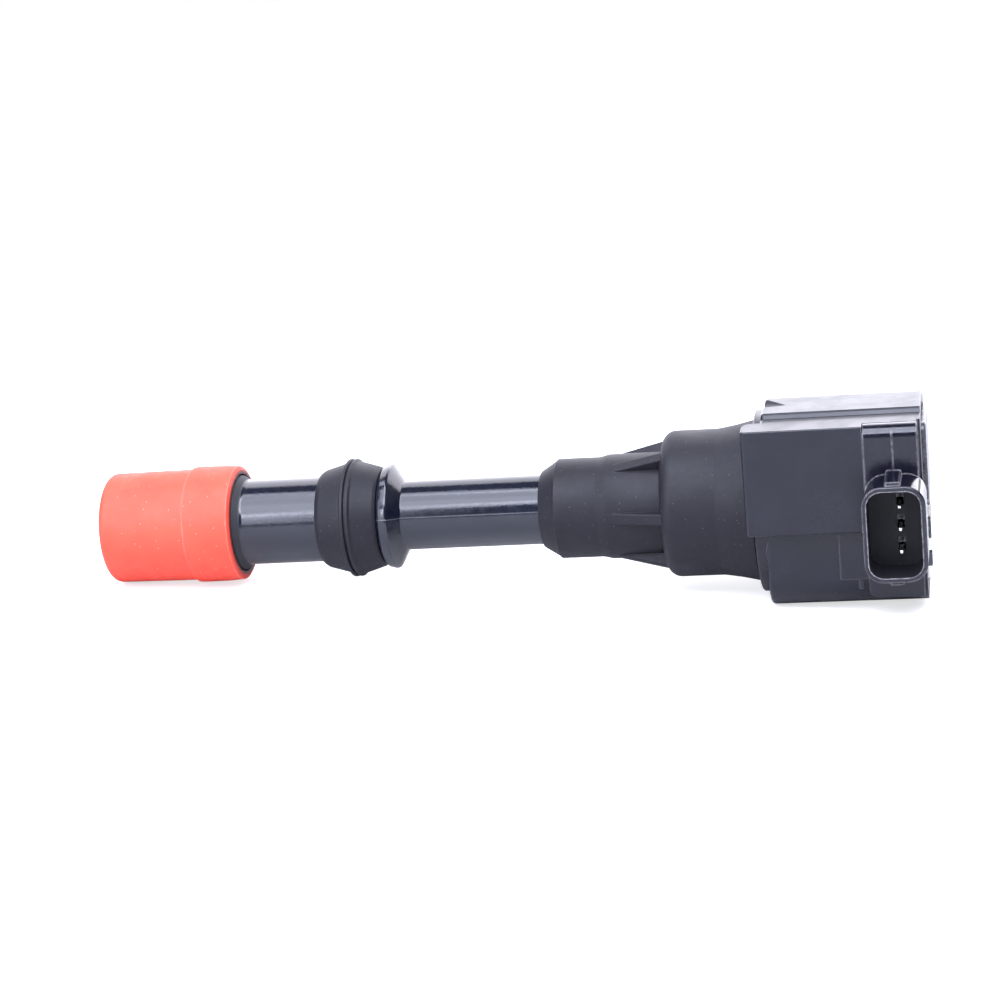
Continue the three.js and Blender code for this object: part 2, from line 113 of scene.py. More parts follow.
STRAIGHT = -0.9999                                 # sides that meet at a lower cosine run straight on
FILLET_STEP = 9                                    # degrees that each chord of a fillet turns


def outline(corners, inset=0.0):
    """The points of a closed outline through corners (u, v, fillet radius), moved inward by the inset."""
    flat = [Vector(corner[:2]) for corner in corners]
    area = sum(a.x * b.y - a.y * b.x for a, b in zip(flat, flat[1:] + flat[:1]))
    points = []
    for i, corner in enumerate(corners):
        here = flat[i]
        radius = corner[2] if len(corner) > 2 else 0
        before = (flat[i - 1] - here).normalized()
        after = (flat[(i + 1) % len(flat)] - here).normalized()
        outward = 1 if after.cross(before) * area > 0 else -1
        if before.dot(after) < STRAIGHT:
            side = Vector((-after.y, after.x)) * (1 if area > 0 else -1)
            points.append(tuple(here + side * inset))
            continue
        half = math.acos(max(-1, min(1, before.dot(after)))) / 2
        bisector = (before + after).normalized()
        here = here + bisector * outward * inset / math.sin(half)
        if not radius:
            points.append(tuple(here))
            continue
        radius = max(0.001, radius - outward * inset)
        centre = here + bisector * radius / math.sin(half)
        first = here + before * radius / math.tan(half) - centre
        last = here + after * radius / math.tan(half) - centre
        steps = max(2, round(math.degrees(math.pi - 2 * half) / FILLET_STEP))
        swing = first.angle_signed(last)
        for k in range(steps + 1):
            spoke = first.copy()
            spoke.rotate(Matrix.Rotation(-swing * k / steps, 2))
            points.append(tuple(centre + spoke))
    return points


def rectangle(u0, v0, u1, v1, radius=0):
    return [(u0, v0, radius), (u1, v0, radius), (u1, v1, radius), (u0, v1, radius)]


def mesh_object(name, bm):
    bmesh.ops.recalc_face_normals(bm, faces=bm.faces)
    mesh = bpy.data.meshes.new(name)
    bm.to_mesh(mesh)
    bm.free()
    obj = bpy.data.objects.new(name, mesh)
    bpy.context.scene.collection.objects.link(obj)
    return obj


def tube(rings, capped):
    """Faces through rings of points, either capped or closed from the last ring back to the first."""
    bm = bmesh.new()
    rows = [[bm.verts.new(point) for point in ring] for ring in rings]
    followers = rows[1:] if capped else rows[1:] + rows[:1]
    for row, following in zip(rows, followers):
        for i in range(len(row)):
            j = (i + 1) % len(row)
            bm.faces.new((row[i], row[j], following[j], following[i]))
    if capped:
        bm.faces.new(rows[0])
        bm.faces.new(rows[-1])
    return bm


SEAM_HALF_WIDTH = 0.014                            # radians on each side of a parting line's crest


def turned(name, corners, sides=160, centre=(0, 0), seam=None):
    """A piece turned about X from corners (x, radius, fillet). seam is a parting line on its outside: its
    height, its places in degrees up from the front, the radius that it stays above, and where it begins."""
    angles = [2 * math.pi * i / sides for i in range(sides)]
    crests = {math.radians(place) for place in seam["places"]} if seam else set()
    if seam:
        for crest in crests:
            angles += [crest - SEAM_HALF_WIDTH, crest, crest + SEAM_HALF_WIDTH]
        angles = sorted(set(angles))
    rings = []
    for x, radius in outline(corners):
        raised = seam["height"] if seam and radius > seam["above"] and x > seam["begins"] else 0
        ring = []
        for a in angles:
            r = radius + (raised if a in crests else 0)
            ring.append((x, centre[0] - r * math.cos(a), centre[1] + r * math.sin(a)))
        rings.append(ring)
    return mesh_object(name, tube(rings, capped=False))


def prism(corners, axis, low, high, round_low=0.0, round_high=0.0):
    """An outline pushed along an axis, with its end edges rounded."""
    steps = 4
    place = {
        "X": lambda t, u, v: (t, u, v),
        "Y": lambda t, u, v: (u, t, v),
        "Z": lambda t, u, v: (u, v, t),
    }[axis]
    sections = []
    for end, inward, amount in ((low, 1, round_low), (high, -1, round_high)):
        turns = range(steps + 1) if amount else (steps,)
        rim = []
        for k in turns:
            a = math.pi / 2 * k / steps
            rim.append((end + inward * amount * (1 - math.cos(a)), amount * (1 - math.sin(a))))
        sections += rim if inward > 0 else rim[::-1]
    rings = [[place(t, *point) for point in outline(corners, inset)] for t, inset in sections]
    bm = tube(rings, capped=True)
    bmesh.ops.remove_doubles(bm, verts=bm.verts, dist=0.0005)
    return mesh_object("prism", bm)


def block(x, y, z, radius):
    """A box between (low, high) pairs, with all its edges rounded."""
    bm = bmesh.new()
    bmesh.ops.create_cube(bm, size=1)
    for vert in bm.verts:
        vert.co = [(pair[0] + pair[1]) / 2 + side * (pair[1] - pair[0])
                   for pair, side in zip((x, y, z), vert.co)]
    if radius:
        bmesh.ops.bevel(bm, geom=bm.edges[:], offset=radius, offset_type="OFFSET", segments=3, profile=0.5,
                        affect="EDGES", clamp_overlap=True)
    return mesh_object("block", bm)


def cone(tip, base, radius):
    """A cone from its tip to the middle of its base."""
    bm = bmesh.new()
    bmesh.ops.create_cone(bm, cap_ends=True, segments=64, radius1=radius, radius2=0.0, depth=1.0)
    length = (base - tip).length
    facing = Vector((0, 0, 1)).rotation_difference(tip - base).to_matrix().to_4x4()
    place = Matrix.Translation((tip + base) / 2) @ facing @ Matrix.Diagonal((1, 1, length, 1))
    bmesh.ops.transform(bm, matrix=place, verts=bm.verts)
    bmesh.ops.remove_doubles(bm, verts=bm.verts, dist=0.001)
    return mesh_object("cone", bm)


def bake(obj):
    """Applies an object's modifiers to its mesh."""
    shape = obj.evaluated_get(bpy.context.evaluated_depsgraph_get())
    mesh = bpy.data.meshes.new_from_object(shape)
    obj.modifiers.clear()
    old = obj.data
    obj.data = mesh
    bpy.data.meshes.remove(old)


def combined(base, others, operation):
    """The base with the others added to it or taken out of it. The others are used up."""
    for other in others:
        step = base.modifiers.new(operation, "BOOLEAN")
        step.object = other
        step.operation = operation
        step.solver = "EXACT"
    bake(base)
    for other in others:
        bpy.data.objects.remove(other)
    return base


def joined(base, *others):
    return combined(base, others, "UNION")


def cut(base, *others):
    return combined(base, others, "DIFFERENCE")


SHARP = math.radians(32)                           # edges that turn more than this stay sharp


def finished(obj, name, finish, body, cad_node):
    """Names a piece, moves it into the frame, smooths it, and hands it to the body that carries it."""
    obj.name = name
    obj.data.name = name
    bm = bmesh.new()
    bm.from_mesh(obj.data)
    bmesh.ops.remove_doubles(bm, verts=bm.verts, dist=0.002)
    bmesh.ops.dissolve_degenerate(bm, edges=bm.edges, dist=0.001)
    bm.to_mesh(obj.data)
    bm.free()
    obj.data.transform(Matrix.Translation(ORIGIN) @ Matrix.Scale(MM, 4))
    obj.data.polygons.foreach_set("use_smooth", [True] * len(obj.data.polygons))
    obj.data.set_sharp_from_angle(angle=SHARP)
    normals = obj.modifiers.new("normals", "WEIGHTED_NORMAL")
    normals.keep_sharp = True
    normals.weight = 80
    obj.data.materials.clear()
    obj.data.materials.append(FINISHES[finish])
    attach(obj, body)
    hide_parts(cad_node)
    return obj


# ---------------------------------------------------------------- materials

class Surface:
    """A node material with one principled shader, built up by its methods."""

    def __init__(self, name, roughness=0.5, metallic=0.0, ior=1.5, specular=0.5):
        self.material = bpy.data.materials.new(name)
        self.material.use_nodes = True
        self.tree = self.material.node_tree
        self.shader = self.tree.nodes["Principled BSDF"]
        self.shader.inputs["Roughness"].default_value = roughness
        self.shader.inputs["Metallic"].default_value = metallic
        self.shader.inputs["IOR"].default_value = ior
        self.shader.inputs["Specular IOR Level"].default_value = specular
        self.place = self.node("ShaderNodeTexCoord").outputs["Object"]
        self.last_bump = None

    def node(self, kind, values=None, **settings):
        made = self.tree.nodes.new(kind)
        for key, value in settings.items():
            setattr(made, key, value)
        for key, value in (values or {}).items():
            if isinstance(value, bpy.types.NodeSocket):
                self.tree.links.new(value, made.inputs[key])
            else:
                made.inputs[key].default_value = value
        return made

    def vector(self, operation, a, b=(0, 0, 0), output=0):
        """Vector maths on one or two vectors. A length or a dot product comes out of the output "Value"."""
        return self.node("ShaderNodeVectorMath", {0: a, 1: b}, operation=operation).outputs[output]

    def position(self):
        """The place on the surface along X, Y and Z, in metres."""
        parts = self.node("ShaderNodeSeparateXYZ", {"Vector": self.place})
        return [parts.outputs[axis] for axis in "XYZ"]

    def from_axis(self):
        """The distance from the coil's own axis, in metres."""
        outward = self.vector("MULTIPLY", self.vector("SUBTRACT", self.place, ORIGIN), (0, 1, 1))
        return self.vector("LENGTH", outward, output="Value")

    def noise(self, size, detail=3.0, stretch=(1, 1, 1)):
        """Cloudy noise, from 0 to 1, with features of this size in millimetres."""
        made = self.node("ShaderNodeTexNoise", {
            "Vector": self.vector("MULTIPLY", self.place, stretch), "Scale": 1 / (size * MM),
            "Detail": detail, "Roughness": 0.55,
        })
        return made.outputs["Fac"]

    def ramp(self, value, start, end, low=0.0, high=1.0):
        """A smooth change from low to high as the value goes from start to end."""
        made = self.node("ShaderNodeMapRange", {
            "Value": value, "From Min": start, "From Max": end, "To Min": low, "To Max": high,
        }, interpolation_type="SMOOTHSTEP")
        return made.outputs["Result"]

    def math(self, operation, a, b):
        return self.node("ShaderNodeMath", {0: a, 1: b}, operation=operation).outputs[0]

    def specks(self, spacing, radius, share):
        """1 on small scattered grains and 0 elsewhere, sizes in millimetres. Only a share of them shows."""
        cells = self.node("ShaderNodeTexVoronoi", {"Vector": self.place, "Scale": 1 / (spacing * MM)})
        near = self.ramp(cells.outputs["Distance"], radius / spacing, radius / spacing * 0.6)
        red = self.node("ShaderNodeSeparateColor", {"Color": cells.outputs["Color"]}).outputs[0]
        return self.math("MULTIPLY", near, self.math("LESS_THAN", red, share))

    def edges(self, width):
        """1 where the surface turns sharply within this width in millimetres."""
        soft = self.node("ShaderNodeBevel", {"Radius": width * MM}, samples=4).outputs[0]
        true = self.node("ShaderNodeNewGeometry").outputs["Normal"]
        return self.ramp(self.vector("DOT_PRODUCT", soft, true, output="Value"), 0.995, 0.86)

    def mix(self, amount, a, b):
        made = self.node("ShaderNodeMix", {0: amount, 6: a, 7: b}, data_type="RGBA")
        return made.outputs[2]

    def colour(self, socket):
        self.tree.links.new(socket, self.shader.inputs["Base Color"])

    def roughness(self, socket):
        self.tree.links.new(socket, self.shader.inputs["Roughness"])

    def bump(self, height, depth):
        """Adds relief of this depth in millimetres."""
        values = {"Height": height, "Distance": depth * MM}
        if self.last_bump:
            values["Normal"] = self.last_bump
        self.last_bump = self.node("ShaderNodeBump", values).outputs["Normal"]
        self.tree.links.new(self.last_bump, self.shader.inputs["Normal"])


def rgb(red, green, blue):
    return (red, green, blue, 1.0)


def silicone():
    surface = Surface("silicone", roughness=0.5, ior=1.42)
    surface.shader.inputs["Subsurface Weight"].default_value = 0.15
    surface.shader.inputs["Subsurface Scale"].default_value = 1.2 * MM
    surface.shader.inputs["Subsurface Radius"].default_value = (1.0, 0.35, 0.25)
    clouds = surface.ramp(surface.noise(9), 0.3, 0.7)
    tint = surface.mix(clouds, rgb(0.84, 0.070, 0.037), rgb(0.86, 0.082, 0.044))
    rubbed = surface.mix(surface.edges(0.35), tint, rgb(0.95, 0.30, 0.24))
    # Painted shade: in the boot's mouth the nose darkens to near black as it turns inward towards the stem.
    along, _, _ = surface.position()
    at_mouth = surface.math("GREATER_THAN", along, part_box("plug_boot")[1].x - 1.4 * MM)
    inward = surface.ramp(surface.from_axis(), 11.5 * MM, BOOT_MOUTH * MM)
    near_stem = surface.math("MULTIPLY", at_mouth, inward)
    mouth_painted_shade = surface.mix(near_stem, rubbed, rgb(0.012, 0.008, 0.012))
    surface.colour(surface.mix(surface.specks(1.2, 0.11, 0.5), mouth_painted_shade, rgb(0.95, 0.40, 0.32)))
    surface.roughness(surface.ramp(surface.noise(2.5), 0.3, 0.7, 0.46, 0.62))
    surface.bump(surface.noise(0.35, detail=2), 0.012)
    surface.bump(surface.specks(1.2, 0.11, 0.5), 0.012)
    return surface.material


def gloss_stem():
    surface = Surface("gloss_stem", roughness=0.09, ior=1.62)
    clouds = surface.ramp(surface.noise(6), 0.35, 0.7)
    base = surface.mix(clouds, rgb(0.004, 0.0055, 0.012), rgb(0.006, 0.008, 0.016))
    worn = surface.mix(surface.edges(0.12), base, rgb(0.20, 0.20, 0.22))
    # Painted shade: the stem's colour darkens where it goes into the boot's mouth. It is also made rougher
    # there.
    along, _, _ = surface.position()
    root = ORIGIN.x + STEM_ROOT * MM
    inside_boot = surface.ramp(along, root + 0.3 * MM, root - 0.4 * MM)
    root_painted_shade = surface.mix(inside_boot, worn, rgb(0.004, 0.004, 0.008))
    surface.colour(surface.mix(surface.specks(2.6, 0.08, 0.4), root_painted_shade, rgb(0.10, 0.10, 0.11)))
    gloss = surface.ramp(surface.noise(1.6), 0.3, 0.75, 0.08, 0.17)
    surface.roughness(surface.math("MAXIMUM", gloss, surface.math("MULTIPLY", inside_boot, 0.7)))
    surface.bump(surface.noise(2.6, detail=2, stretch=(0.6, 1, 1)), 0.010)
    surface.bump(surface.noise(0.4, detail=3), 0.017)
    return surface.material


def matte_rubber():
    surface = Surface("matte_rubber", roughness=0.66, ior=1.45, specular=0.38)
    clouds = surface.ramp(surface.noise(9), 0.3, 0.7)
    base = surface.mix(clouds, rgb(0.0062, 0.0062, 0.0098), rgb(0.0080, 0.0080, 0.0125))
    rubbed = surface.mix(surface.ramp(surface.noise(1.1), 0.55, 0.8), base, rgb(0.012, 0.0116, 0.0155))
    worn = surface.mix(surface.edges(0.3), rubbed, rgb(0.04, 0.038, 0.04))
    surface.colour(surface.mix(surface.specks(1.1, 0.1, 0.6), worn, rgb(0.095, 0.078, 0.070)))
    surface.roughness(surface.ramp(surface.noise(6.0), 0.3, 0.7, 0.52, 0.6))
    surface.bump(surface.noise(0.28, detail=3), 0.010)
    surface.bump(surface.specks(1.1, 0.1, 0.6), 0.012)
    return surface.material


def case_plastic():
    surface = Surface("case_plastic", roughness=0.34, ior=1.5)
    clouds = surface.ramp(surface.noise(7), 0.3, 0.7)
    base = surface.mix(clouds, rgb(0.0025, 0.003, 0.008), rgb(0.004, 0.0048, 0.011))
    worn = surface.mix(surface.edges(0.3), base, rgb(0.15, 0.15, 0.17))
    surface.colour(surface.mix(surface.specks(2.0, 0.08, 0.4), worn, rgb(0.06, 0.06, 0.065)))
    surface.roughness(surface.ramp(surface.noise(6), 0.3, 0.7, 0.27, 0.36))
    surface.bump(surface.noise(0.6, detail=3), 0.004)
    return surface.material


def in_socket(surface):
    """1 in the connector's socket, from a little way in from its rim to just before the pockets' floors."""
    x, y, z = surface.position()
    within = []
    slack = 0.07
    for place, origin, middle, size in (
        (x, ORIGIN.x, CONNECTOR["x"], CONNECTOR["width"]),
        (z, ORIGIN.z, 0, CONNECTOR["height"]),
    ):
        away = surface.math("ABSOLUTE", surface.math("SUBTRACT", place, origin + middle * MM), 0)
        within.append(surface.math("LESS_THAN", away, (size / 2 - SOCKET_WALL + slack) * MM))
    first = ORIGIN.y + (CONNECTOR["mouth"] + 0.25) * MM
    last = ORIGIN.y + (CONNECTOR["floor"] + POCKET_DEPTH - 0.01) * MM
    within.append(surface.math("LESS_THAN", y, last))
    within.append(surface.math("GREATER_THAN", y, first))
    inside = within[0]
    for test in within[1:]:
        inside = surface.math("MULTIPLY", inside, test)
    return inside


def connector_plastic():
    surface = Surface("connector_plastic", roughness=0.16, ior=1.5)
    clouds = surface.ramp(surface.noise(5), 0.3, 0.7)
    base = surface.mix(clouds, rgb(0.003, 0.0035, 0.009), rgb(0.005, 0.0055, 0.012))
    scuffed = surface.ramp(surface.noise(0.7), 0.35, 0.6, 0.35, 1.0)
    worn = surface.mix(surface.math("MULTIPLY", surface.edges(0.45), scuffed), base, rgb(0.34, 0.32, 0.33))
    inside = in_socket(surface)
    # Painted shade: darker colour inside the socket, where shade falls in the recess. The inside is also made
    # rougher.
    shaded = surface.mix(inside, worn, rgb(0.0015, 0.0018, 0.004))
    surface.colour(surface.mix(surface.specks(2.2, 0.07, 0.3), shaded, rgb(0.08, 0.08, 0.085)))
    gloss = surface.ramp(surface.noise(1.2), 0.3, 0.7, 0.12, 0.24)
    surface.roughness(surface.math("MAXIMUM", gloss, surface.math("MULTIPLY", inside, 0.6)))
    surface.bump(surface.noise(0.5, detail=3), 0.003)
    surface.bump(surface.noise(2.6, detail=1), 0.010)
    return surface.material


WAVE_PITCH = math.tau / 20                         # spacing of a wave texture's stripes at scale 1


def plain_finish(name, dark, light, roughness, metallic=0.0, grain=0.3, relief=0.01, stretch=(1, 1, 1),
                 wear=None, ridges=None):
    """A finish with cloudy colour, uneven gloss and a fine grain, lighter on its edges if wear is a colour.
    ridges are fine and parallel, as wound wire or stacked sheets have them: (axis, pitch, depth)."""
    surface = Surface(name, roughness=roughness, metallic=metallic)
    clouds = surface.ramp(surface.noise(2.2, stretch=stretch), 0.3, 0.7)
    tint = surface.mix(clouds, rgb(*dark), rgb(*light))
    if wear:
        tint = surface.mix(surface.edges(0.25), tint, rgb(*wear))
    surface.colour(surface.mix(surface.specks(1.5, 0.1, 0.5), tint, rgb(*[0.6 * c for c in dark])))
    spread = surface.ramp(surface.noise(1.1, stretch=stretch), 0.3, 0.7, roughness * 0.8, roughness * 1.25)
    surface.roughness(spread)
    surface.bump(surface.noise(grain, detail=3, stretch=stretch), relief)
    if ridges:
        axis, pitch, depth = ridges
        wave = surface.node("ShaderNodeTexWave", {
            "Vector": surface.place, "Scale": WAVE_PITCH / (pitch * MM), "Distortion": 0.3, "Detail": 1.0,
        }, bands_direction=axis)
        surface.bump(wave.outputs["Fac"], depth)
    return surface.material


FINISHES = {
    "silicone": silicone(),
    "gloss_stem": gloss_stem(),
    "matte_rubber": matte_rubber(),
    "case_plastic": case_plastic(),
    "connector_plastic": connector_plastic(),
}
PLAIN_FINISHES = {
    "carrier_plastic": dict(dark=(0.05, 0.05, 0.055), light=(0.085, 0.085, 0.09), roughness=0.45,
                            wear=(0.2, 0.2, 0.2)),
    "tinned_contact": dict(dark=(0.72, 0.70, 0.64), light=(0.86, 0.84, 0.79), roughness=0.22, metallic=1.0,
                           grain=0.15, relief=0.004),
    "potting_resin": dict(dark=(0.045, 0.045, 0.05), light=(0.075, 0.075, 0.08), roughness=0.25,
                          grain=1.8, relief=0.05),
    "spring_steel": dict(dark=(0.52, 0.53, 0.55), light=(0.68, 0.69, 0.71), roughness=0.3, metallic=1.0,
                         grain=0.1, relief=0.003),
    "brass": dict(dark=(0.62, 0.44, 0.17), light=(0.80, 0.62, 0.30), roughness=0.28, metallic=1.0,
                  grain=0.12, relief=0.004, stretch=(6, 1, 1)),
    "resistor_body": dict(dark=(0.62, 0.55, 0.42), light=(0.74, 0.68, 0.54), roughness=0.6),
    "core_steel": dict(dark=(0.26, 0.27, 0.29), light=(0.40, 0.41, 0.43), roughness=0.45, metallic=1.0,
                       ridges=("X", 0.5, 0.06)),
    "magnet": dict(dark=(0.09, 0.09, 0.10), light=(0.15, 0.15, 0.16), roughness=0.45, metallic=0.6),
    "bobbin_plastic": dict(dark=(0.70, 0.64, 0.50), light=(0.82, 0.77, 0.64), roughness=0.5),
    "copper_winding": dict(dark=(0.50, 0.20, 0.08), light=(0.68, 0.32, 0.14), roughness=0.3, metallic=1.0,
                           ridges=("Z", 0.35, 0.08)),
    "diode_body": dict(dark=(0.02, 0.02, 0.022), light=(0.04, 0.04, 0.043), roughness=0.35),
    "heat_sink": dict(dark=(0.60, 0.61, 0.63), light=(0.74, 0.75, 0.77), roughness=0.35, metallic=1.0,
                      grain=0.2, relief=0.006, stretch=(1, 1, 5)),
    "bush_steel": dict(dark=(0.58, 0.59, 0.60), light=(0.78, 0.79, 0.80), roughness=0.32, metallic=1.0,
                       grain=0.15, relief=0.006, stretch=(5, 1, 1), wear=(0.9, 0.9, 0.9)),
}
for finish_name, look in PLAIN_FINISHES.items():
    FINISHES[finish_name] = plain_finish(finish_name, **look)


# ---------------------------------------------------------------- plug boot, stem and rubber parts

FLANGE_START = -54.1                               # of the small flange round the stem in the boot's mouth
STEM_BORE = 5.0
LIP_END = -62.9                                    # of the lip in the stem that stops the contact cap
# Where the stem's mould closed: on its front and its back, along the slim upper half.
PARTING_LINE = {"height": 0.1, "places": (9.5, 189.5), "above": 6.5, "begins": -24.0}


def plug_boot():
    low, high = extent("plug_boot")
    x0, x1, collar = low.x, high.x, high.z
    body = collar - 0.5
    rim = collar - 0.25
    pocket = LOWER_STEM + GAP
    pocket_floor = STEM_START - GAP
    counterbore = FLANGE_START - GAP
    return turned("plug_boot", [
        (x0, 6.0, 0.25),
        (x0, body - 0.15, 1.5),
        (x0 + 8.0, body - 0.05, 12),
        (-63.1, body + 0.02, 0.3),
        (-62.95, body - 0.16, 0.1),
        (-62.75, collar - 0.05, 0.25),
        (-61.5, collar, 3),
        (-56.5, collar - 0.05, 6),
        (x1 - 0.5, rim, 0.1),
        (x1 - 0.05, rim - 0.75, 0.5),
        (x1, BOOT_MOUTH, 0.15),
        (counterbore, BOOT_MOUTH, 0.1),
        (counterbore, pocket, 0.1),
        (pocket_floor, pocket, 0.1),
        (pocket_floor, BOOT_BORE, 0.2),
        (x0 + 0.9, BOOT_BORE, 0.3),
    ], sides=224)


def stem():
    _, high = extent("stem")
    socket = high.z
    lip = 3.9
    shoulder = -23.15
    root = 7.4
    socket_bore = 9.7
    return turned("stem", [
        (STEM_START, lip, 0.15),
        (STEM_START, LOWER_STEM, 0.5),
        (FLANGE_START, LOWER_STEM, 0.1),
        (FLANGE_START, 9.7, 0.15),
        (-53.0, 9.6, 0.3),
        (STEM_ROOT, LOWER_STEM, 1.6),
        (-24.2, LOWER_STEM),
        (shoulder, LOWER_STEM, 0.1),
        (shoulder, 9.8, 0.15),
        (-22.7, 10.2, 0.5),
        (-21.15, 10.62, 0.55),
        (-19.0, UPPER_STEM, 0.25),
        (12.0, UPPER_STEM, 0.2),
        (12.4, root, 0.2),
        (32.2, root, 0.5),
        (35.1, socket, 0.5),
        (high.x, socket, 0.3),
        (high.x, socket_bore, 0.3),
        (35.2, socket_bore, 0.3),
        (33.6, STEM_BORE, 0.3),
        (LIP_END, STEM_BORE, 0.2),
        (LIP_END, lip, 0.2),
    ], sides=240, seam=PARTING_LINE)


def centring_ring():
    low, high = extent("centring_ring")
    x0, x1, lip = low.x, high.x, high.z
    bore = LOWER_STEM + GAP
    return turned("centring_ring", [
        (x0, bore, 0.1),
        (x0 + 0.05, 9.25, 0.3),
        (x0 + 0.9, 9.85, 1.4),
        (-30.9, 11.05, 2.5),
        (-30.45, 11.15, 0.15),
        (-30.15, lip, 0.12),
        (-29.65, lip - 0.02, 0.1),
        (-29.42, 11.3, 0.08),
        (-29.12, 11.3, 0.08),
        (-28.98, lip - 0.03, 0.1),
        (-28.6, lip - 0.08, 0.12),
        (-28.2, 11.35, 0.3),
        (-24.0, 10.05, 0.5),
        (x1, 9.6, 0.3),
        (x1, bore, 0.1),
    ], sides=224)


RIB_COUNT = 6
RIB_WIDTH = 2.2
SEAL_NECK = 9.9                                    # radius of the seal before its ribs
SEAL_RIBBED = 10.35                                # between its ribs
SEAL_DRUM = 14.4                                   # and of its drum


def well_seal():
    low, high = extent("well_seal")
    x0, x1, skirt = low.x, high.x, high.z
    bore = UPPER_STEM + GAP
    over_root = 7.75
    over_socket = extent("stem")[1].z + GAP
    drum_start = 33.6
    skirt_end = x1 + 0.2
    body = turned("well_seal", [
        (x0, bore, 0.1),
        (x0, 7.55, 0.35),
        (12.15, 9.55, 0.3),
        (12.5, SEAL_NECK, 0.22),
        (20.9, SEAL_NECK, 3),
        (22.6, SEAL_RIBBED, 3),
        (drum_start, SEAL_RIBBED, 0.3),
        (drum_start, SEAL_DRUM, 2.6),
        (44.6, SEAL_DRUM, 1.5),
        (48.0, 14.95, 8),
        (skirt_end, skirt, 0.3),
        (skirt_end, over_socket, 0.2),
        (34.9, over_socket, 0.2),
        (32.1, over_root, 0.3),
        (12.1, over_root, 0.2),
        (11.7, bore, 0.1),
    ], sides=192)
    side = [(22.4, 9.4), (33.4, 9.4), (34.5, 12.0), (34.2, 13.0), (24.3, SEAL_RIBBED + 0.1)]
    ribs = []
    for i in range(RIB_COUNT):
        rib = prism(side, "Y", -RIB_WIDTH / 2, RIB_WIDTH / 2, 0.3, 0.3)
        rib.data.transform(Matrix.Rotation(math.pi / 2 + i * math.tau / RIB_COUNT, 4, "X"))
        ribs.append(rib)
    return joined(body, *ribs)


# ---------------------------------------------------------------- head: case and connector

WALL = 2.0
CASE_START = 54.2                                  # along X, behind the sealing flange
CASE_TOP = 20.05
LEDGE = (-14.4, 18.2)                              # y and z of the foot of the step along the case's top
LEDGE_TOP = (-13.1, 19.85)                         # and of its upper edge
FLANGE_FACE = 52.1                                 # the flange's face towards the well seal
TOWER_BORE = 3.6
POD_FRONT = -21.0
POD_BOTTOM = -2.1
PLATE = (73.48, 83.55)                             # the connector plate, along X
PLATE_BACK = -18.7
TERMINALS = (                                      # z of the pin, z of the tab, and x of the step between
    (4.15, -0.1, 82.3),
    (-0.15, -6.6, 81.1),
    (-4.45, -12.0, 79.85),
)
PIN_X = 79.85
PIN_SIZE = 0.7
STRIP = (-13.9, -13.2)                             # front and back of the strip behind the pins
TAB_HALF_WIDTH = 1.25
LUG = {"x0": 55.5, "x1": 65.5, "y": 25.5, "r": 8.6}
BUSH = {"radius": 5.4, "bore": 3.3}


def pin_ways(y0, y1):
    """Square ways for the three pins, with a gap all round."""
    reach = PIN_SIZE / 2 + GAP
    across = (PIN_X - reach, PIN_X + reach)
    return [block(across, (y0, y1), (z - reach, z + reach), 0) for z, _, _ in TERMINALS]


def case_outline(inset):
    """The case's section, or the same moved inward, where the step along the top has sharp corners."""
    front, back, bottom, top = -17.5, 17.5, -17.8, CASE_TOP
    ridge = 0.8
    fillet = 6.5 - inset
    ledge = [
        (ridge, top - inset, 6),
        (-12.9, 19.93, 0.3),
        (-13.3, 19.6, 0.5),
        (-13.85, 18.97, 0.2),
        (-14.6, 18.83, 0.3),
        (front, 18.53, 0),
    ] if not inset else [
        (ridge, top - inset, 0),
        (LEDGE_TOP[0] + inset, LEDGE_TOP[1] - inset, 0),
        (LEDGE[0] + inset, LEDGE[1] - inset, 0),
        (front + inset, LEDGE[1] - inset, 0),
    ]
    return [
        (front + inset, bottom + inset, fillet),
        (back - inset, bottom + inset, fillet),
        (back - inset, 15.5 - inset * 0.8, 5.0 - inset),
        *ledge,
    ]


def case_shell(x1):
    """The case before it is hollowed out, up to its open side at x1."""
    y, r = LUG["y"], LUG["r"]
    lug_side = [(14.0, -r), (y + r, -r, r - 0.01), (y + r, r, r - 0.01), (14.0, r)]
    inside = CASE_START + 1
    flange_r = extent("well_seal")[1].z + 2.0
    flange = turned("flange", [
        (FLANGE_FACE, 8.4, 0), (FLANGE_FACE, flange_r, 0.5), (inside, flange_r, 0.2), (inside, 8.4, 0),
    ])
    tower_end, tower_r = 36.5, 9.4
    tower = turned("tower", [
        (tower_end, TOWER_BORE, 0), (tower_end, tower_r, 0.6), (inside, tower_r, 0), (inside, TOWER_BORE, 0),
    ], sides=96)
    pod_root = -15.5
    pod = prism([
        (50.9, POD_FRONT, 0.75), (83.6, POD_FRONT, 0.1), (83.6, pod_root, 0), (50.9, pod_root, 2.0),
    ], "Z", POD_BOTTOM, 18.55, 0.6, 0.3)
    top_slope, top_drop = 0.1, 0.35
    for vert in pod.data.vertices:
        if vert.co.z > 10:
            vert.co.z += top_slope * (vert.co.y - POD_FRONT) - top_drop
    step_pad = block((67.9, 74.4), (-18.4, pod_root), (-11.8, POD_BOTTOM + 0.6), 0.2)
    lower_plate = prism([
        (73.2, -15.3, 1.6), (83.5, -15.3), (83.5, -10.0), (73.2, -10.0),
    ], "Y", -19.2, -11.5, 0.3)
    nub = block((71.3, 72.2), (-17.9, -14.0), (-13.8, -11.5), 0.15)
    lug = prism(lug_side, "X", LUG["x0"], LUG["x1"], 0.5, 0.5)
    gussets = [
        prism([(LUG["x1"] - 1, 14.0), (LUG["x1"] - 1, y + 1), (78.0, 17.6), (78.0, 14.0)],
              "Z", z - 1.0, z + 1.0, 0.3, 0.3)
        for z in (-r + 1.2, r - 1.2)
    ]
    body = prism(case_outline(0), "X", CASE_START, x1, 0.8, 0.12)
    return joined(body, flange, tower, pod, step_pad, lower_plate, nub, lug, *gussets)


